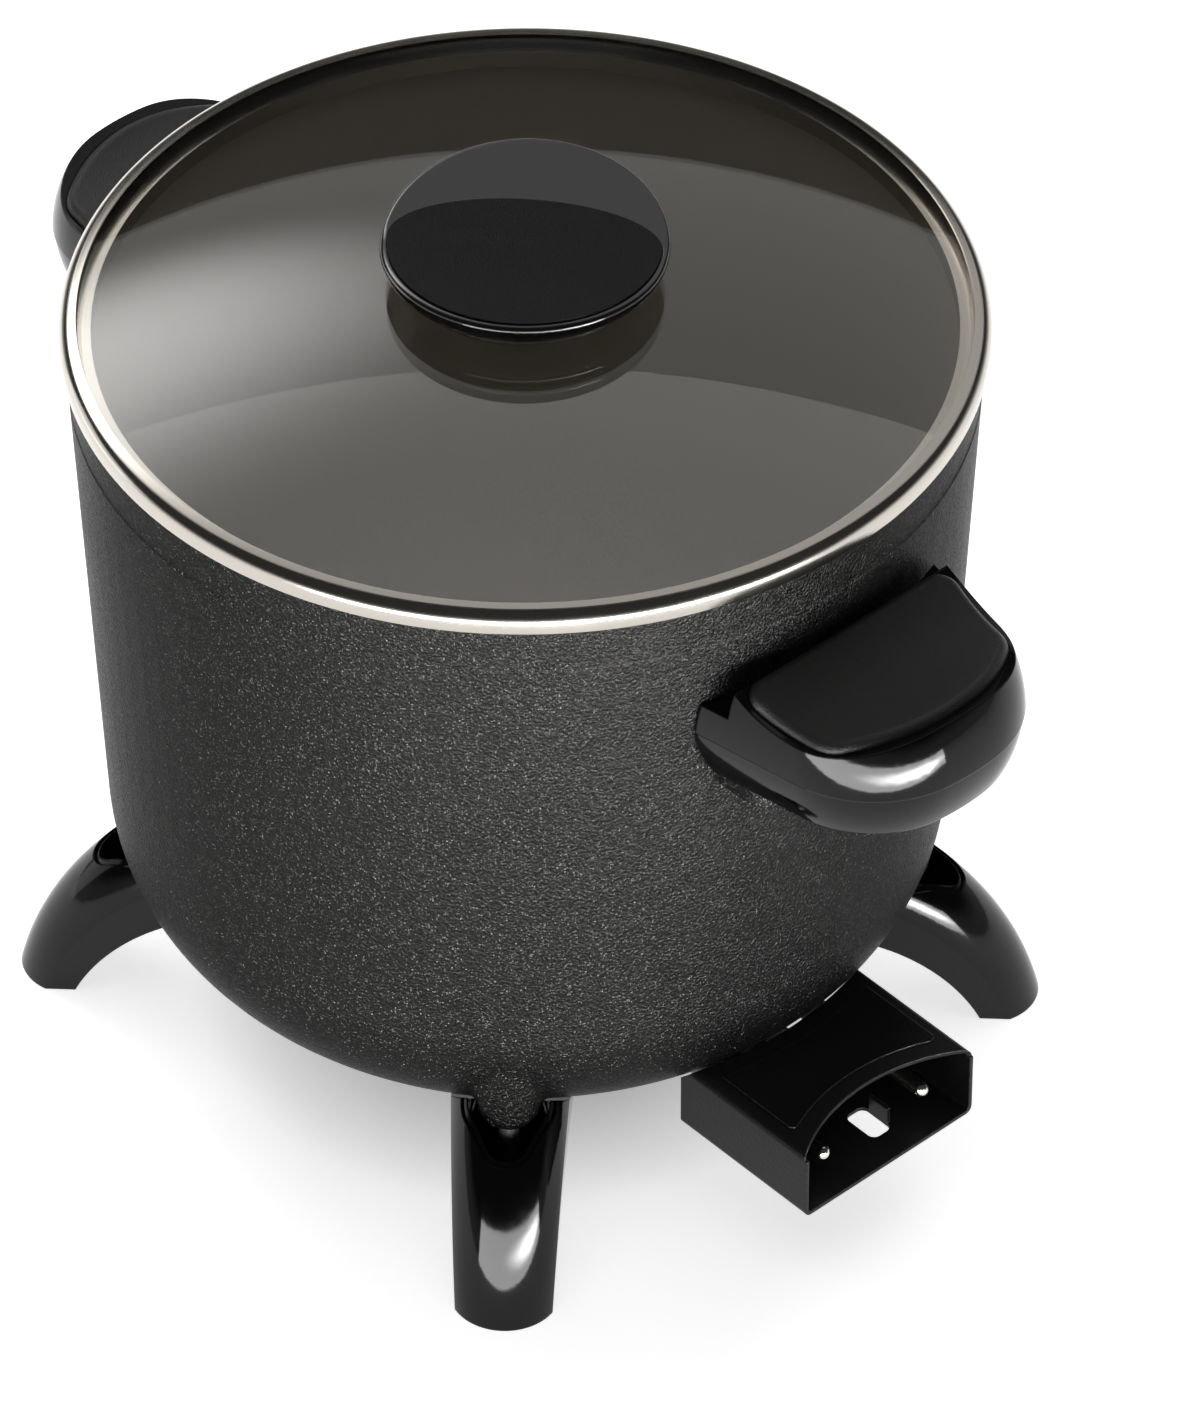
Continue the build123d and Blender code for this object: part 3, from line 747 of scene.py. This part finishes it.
@dataclass(frozen=True)
class Fastenings:
    """All the screws, the knob's washer and the bright spacers."""

    screw: PlatedMetal = PlatedMetal("screw steel", colour=(0.58, 0.57, 0.55), rough=0.3)
    spacer: TurnedMetal = TurnedMetal("bright spacer", colour=(0.80, 0.79, 0.77), rough=0.5)

    def build(self, nodes: Nodes) -> list[str]:
        """Dress the screws, the washer and the spacers."""
        names = ("guard_screws", "leg_screws", "handle_screws", "knob_screw", "knob_washer")
        return dress(nodes, names, self.screw.make()) + dress(nodes, ("leg_ferrules",), self.spacer.make())


@dataclass(frozen=True)
class Mouldings:
    """Legs, handles and knob, with the grips let into them."""

    gloss: GlossPlastic = GlossPlastic()
    polish: GlossPlastic = GlossPlastic("polished knob", gloss=1.0)
    grip: SoftGrip = SoftGrip()
    # The knob's inlay is the grip finish made darker, as painted shade on the knob's top.
    inlay: SoftGrip = SoftGrip("knob inlay", colour=(0.006, 0.006, 0.0058), rough=0.36, gloss=0.14)
    rubber: Dull = Dull("gasket rubber", colour=(0.02, 0.02, 0.02), rough=0.6)
    leg_count: int = 4

    def build(self, nodes: Nodes) -> list[str]:
        """Dress the mouldings, the grips and the knob's gasket.

        Args:
            nodes: Frame nodes by name.

        Returns:
            The names that were dressed.
        """
        legs = tuple(f"leg_{place + 1}" for place in range(self.leg_count))
        done = dress(nodes, legs + ("handle_right", "handle_left"), self.gloss.make())
        done += dress(nodes, ("knob",), self.polish.make())
        done += dress(nodes, ("handle_grip_right", "handle_grip_left"), self.grip.make())
        done += dress(nodes, ("knob_grip",), self.inlay.make())
        return done + dress(nodes, ("knob_gasket",), self.rubber.make())


@dataclass(frozen=True)
class Lid:
    """Glass dome and its rolled steel band, in metres and degrees."""

    sheet: float = 0.0007
    lip: float = 0.0042
    flange: float = 0.0074
    skirt: float = 0.0040
    shoulder_fall: float = 0.0008
    shoulder_round: float = 0.0026
    shoulder_steps: int = 8
    foot_round: float = 0.0005
    foot_steps: int = 4
    turn_steps: int = 240
    merge_reach: float = 1e-6
    sharp_angle: float = 35.0
    steel: TurnedMetal = TurnedMetal("band steel", colour=(0.56, 0.525, 0.475), rough=0.15)
    glass: ClearGlass = ClearGlass()

    def outline(self) -> list[tuple[float, float]]:
        """List the corners of the band's section, taken from the frame's own band.

        Returns:
            Reach from the axis and height of each corner, from the foot over the shoulder and round.
        """
        low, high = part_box("lid_band")
        outer = high.x
        inner = outer - self.sheet
        tip = outer - self.lip
        hem = outer - self.flange
        top = high.z
        crest = top - self.shoulder_fall
        seat = low.z + self.skirt
        return [
            (outer, seat),
            (outer, crest),
            (tip, top),
            (tip, top - self.sheet),
            (inner, crest - self.sheet),
            (inner, seat + self.sheet),
            (hem - self.sheet, seat + self.sheet),
            (hem - self.sheet, low.z),
            (hem, low.z),
            (hem, seat),
        ]

    def roll_band(self) -> bpy.types.Object:
        """Turn the band's rounded section into a closed ring.

        Returns:
            The ring, riding on the lid in place of the plain band.
        """
        form = bmesh.new()
        points = [form.verts.new((reach, 0.0, height)) for reach, height in self.outline()]
        form.faces.new(points)
        foot, shoulder, *_ = points
        rounds = (
            (shoulder, self.shoulder_round, self.shoulder_steps),
            (foot, self.foot_round, self.foot_steps),
        )
        for corner, offset, steps in rounds:
            bmesh.ops.bevel(
                form, geom=[corner], offset=offset, offset_type="OFFSET", affect="VERTICES",
                segments=steps, profile=0.5, material=-1,
            )
        bmesh.ops.delete(form, geom=list(form.faces), context="FACES_ONLY")
        bmesh.ops.spin(
            form, geom=[*form.verts, *form.edges], cent=(0.0, 0.0, 0.0), axis=(0.0, 0.0, 1.0),
            angle=math.tau, steps=self.turn_steps, use_merge=True,
        )
        bmesh.ops.remove_doubles(form, verts=form.verts, dist=self.merge_reach)
        bmesh.ops.recalc_face_normals(form, faces=form.faces)
        mesh = bpy.data.meshes.new("rolled_band")
        form.to_mesh(mesh)
        form.free()
        mesh.shade_smooth()
        mesh.set_sharp_from_angle(angle=math.radians(self.sharp_angle))
        ring = bpy.data.objects.new("rolled_band", mesh)
        bpy.context.scene.collection.objects.link(ring)
        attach(ring, "lid")
        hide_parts("lid_band")
        return ring

    def build(self, nodes: Nodes) -> list[str]:
        """Roll the band and dress it and the glass.

        Args:
            nodes: Frame nodes by name.

        Returns:
            The names of the pieces, with the rolled band's.
        """
        steel = self.steel.make()
        ring = self.roll_band()
        ring.data.materials.append(steel)
        done = dress(nodes, ("lid_band",), steel)
        return done + [ring.name] + dress(nodes, ("lid_glass",), self.glass.make())


# Camera and studio

@dataclass(frozen=True)
class View:
    """Where the camera stands and what it aims at, in degrees and metres, with its lens in millimetres."""

    azimuth: float = 47.66
    elevation: float = 41.47
    distance: float = 2.5796
    aim_right: float = 0.01775
    aim_height: float = 0.09004
    lens: float = 315.3
    sensor: float = 36.0

    def right(self) -> Vector:
        """Direction to the camera's right, level."""
        turn = math.radians(self.azimuth)
        return Vector((math.cos(turn), math.sin(turn), 0.0))

    def away(self) -> Vector:
        """Level direction from the camera to the object."""
        turn = math.radians(self.azimuth)
        return Vector((-math.sin(turn), math.cos(turn), 0.0))

    def place(self, right: float, away: float, height: float) -> Vector:
        """Point given by the camera's right, the way it looks and the height."""
        return self.right() * right + self.away() * away + Vector((0.0, 0.0, height))

    def build(self) -> None:
        """Make the camera and use it."""
        rise = math.radians(self.elevation)
        back = Vector((0.0, 0.0, math.sin(rise))) - self.away() * math.cos(rise)
        data = bpy.data.cameras.new("photo camera")
        data.sensor_fit = "HORIZONTAL"
        data.sensor_width = self.sensor
        data.lens = self.lens
        camera = bpy.data.objects.new("photo camera", data)
        frame = Matrix((self.right(), back.cross(self.right()), back)).transposed().to_4x4()
        frame.translation = self.place(self.aim_right, 0.0, self.aim_height) + back * self.distance
        camera.matrix_world = frame
        bpy.context.scene.collection.objects.link(camera)
        bpy.context.scene.camera = camera


class LampShape(Enum):
    """Outlines of the soft lamps."""

    BOX = "RECTANGLE"
    OVAL = "ELLIPSE"


@dataclass(frozen=True)
class SoftLamp:
    """One soft lamp, placed by the camera's right, the way it looks and the height.

    A core brightens part of the lamp's face; its place and reach are shares of that face.
    """

    name: str
    place: Place
    aim: Place
    size: Range
    power: float
    shape: LampShape = LampShape.BOX
    glossy: bool = True
    diffuse: bool = True
    core: float = 0.0
    core_place: Range = (0.5, 0.5)
    core_reach: float = 0.4

    def build(self, view: View) -> None:
        """Make the lamp.

        Args:
            view: The camera that places are given by.
        """
        data = bpy.data.lights.new(self.name, "AREA")
        data.shape = self.shape.value
        data.size, data.size_y = self.size
        data.energy = self.power
        lamp = bpy.data.objects.new(self.name, data)
        place = view.place(*self.place)
        back = (place - view.place(*self.aim)).normalized()
        side = view.right()
        side = (side - back * side.dot(back)).normalized()
        frame = Matrix((side, back.cross(side), back)).transposed().to_4x4()
        frame.translation = place
        lamp.matrix_world = frame
        lamp.visible_glossy = self.glossy
        lamp.visible_diffuse = self.diffuse
        lamp.visible_camera = False
        if self.core:
            self.brighten(data)
        bpy.context.scene.collection.objects.link(lamp)

    def brighten(self, data: bpy.types.Light) -> None:
        """Give the lamp's face a bright core that fades outwards.

        Args:
            data: The lamp's light.
        """
        data.use_nodes = True
        graph = Graph(data.node_tree)
        spot = graph.add("ShaderNodeNewGeometry").outputs["Parametric"]
        off = graph.vector("DISTANCE", {0: spot, 1: (*self.core_place, 0.0)}).outputs["Value"]
        glow = graph.add(
            "ShaderNodeMapRange", {"Value": off, 1: 0.0, 2: self.core_reach, 3: 1.0 + self.core, 4: 1.0},
            clamp=True, interpolation_type="SMOOTHERSTEP",
        )
        graph.feed(data.node_tree.nodes["Emission"], {"Strength": glow.outputs[0]})


@dataclass(frozen=True)
class Studio:
    """White floor, pale horizon and soft lamps."""

    floor_size: float = 40.0
    floor_colour: Colour = (0.82, 0.82, 0.82)
    floor_tones: Range = (0.995, 1.005)
    floor_grain: float = 500.0
    floor_rough: float = 0.9
    floor_glow: float = 0.74
    # Painted shadow under the pot: the reach over which the floor's glow is turned down, and its share.
    shade_span: Range = (0.03, 0.085)
    shade_target: Range = (0.3, 1.0)
    horizon_span: Range = (0.09, 0.22)
    horizon_glow: Range = (0.4, 0.035)

    def floor(self) -> None:
        """Lay a white floor that keeps shadows, with a painted shadow under the pot where its glow is
        turned down.
        """
        surface = Surface("white floor")
        graph = surface.graph
        grain = surface.effect(Effect.GRAIN, Scale=self.floor_grain)
        path = graph.add("ShaderNodeLightPath")
        seen = graph.math("MAXIMUM", path.outputs["Is Camera Ray"], path.outputs["Is Glossy Ray"])
        seen = graph.math("MAXIMUM", seen, path.outputs["Is Transmission Ray"])
        # Painted shadow: the glow fades towards the pot's axis.
        reach = graph.vector("LENGTH", {0: surface.where}).outputs["Value"]
        seen = graph.math("MULTIPLY", seen, graph.remap(reach, self.shade_span, self.shade_target))
        surface.set({
            "Base Color": surface.tones(grain.outputs["Patch"], self.floor_colour, self.floor_tones),
            "Roughness": self.floor_rough,
            "Specular IOR Level": 0.0,
            "Emission Color": WHITE,
            "Emission Strength": graph.math("MULTIPLY", seen, self.floor_glow),
        })
        form = bmesh.new()
        bmesh.ops.create_grid(form, x_segments=1, y_segments=1, size=self.floor_size / 2)
        mesh = bpy.data.meshes.new("floor")
        form.to_mesh(mesh)
        form.free()
        mesh.materials.append(surface.material)
        floor = bpy.data.objects.new("floor", mesh)
        bpy.context.scene.collection.objects.link(floor)

    def sky(self) -> None:
        """Make a pale horizon under a dark ceiling."""
        world = bpy.data.worlds.new("studio")
        world.use_nodes = True
        graph = Graph(world.node_tree)
        up = graph.add("ShaderNodeTexCoord").outputs["Generated"]
        height = graph.add("ShaderNodeSeparateXYZ", {0: up}).outputs[2]
        strength = graph.remap(height, self.horizon_span, self.horizon_glow)
        graph.feed(world.node_tree.nodes["Background"], {"Color": WHITE, "Strength": strength})
        bpy.context.scene.world = world

    def lamps(self) -> tuple[SoftLamp, ...]:
        """List the lamps: the oval box behind, the ceiling fill, the front strip and the left card.

        Returns:
            The lamps, with places in metres and powers in watts.
        """
        middle = (0.0, 0.0, 0.1)
        return (
            SoftLamp(
                "oval box", place=(0.0, 1.14, 1.2), aim=(0.0, 1.14, 0.0), size=(2.34, 1.9), power=5.6,
                shape=LampShape.OVAL, core=7.5, core_place=(0.18, 0.48), core_reach=0.38,
            ),
            SoftLamp(
                "ceiling fill", place=(0.0, 0.2, 2.4), aim=middle, size=(3.2, 3.2), power=40.0,
                glossy=False,
            ),
            SoftLamp(
                "front strip", place=(0.16, -0.5, 0.08), aim=(0.16, 0.0, 0.08), size=(1.3, 0.16), power=8.0,
                diffuse=False, core=4.6, core_place=(0.7, 0.5), core_reach=0.4,
            ),
            SoftLamp("left card", place=(-1.1, 0.35, 0.25), aim=middle, size=(0.6, 0.5), power=0.8),
        )

    def build(self, view: View) -> None:
        """Set the floor, the sky and the lamps.

        Args:
            view: The camera that the lamps are placed by.
        """
        self.floor()
        self.sky()
        for lamp in self.lamps():
            lamp.build(view)
        bpy.context.scene.view_settings.view_transform = "Standard"


def main() -> None:
    """Dress the multicooker, set the studio and report each piece."""
    logging.basicConfig(level=logging.INFO, format="%(message)s")
    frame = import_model()
    EffectLibrary().build()
    for assembly in (Vessel(), HeatBase(), Guard(), Fastenings(), Mouldings(), Lid()):
        for piece in assembly.build(frame["nodes"]):
            log.info("dressed %s", piece)
    view = View()
    view.build()
    Studio().build(view)


if __name__ == "__main__":
    main()
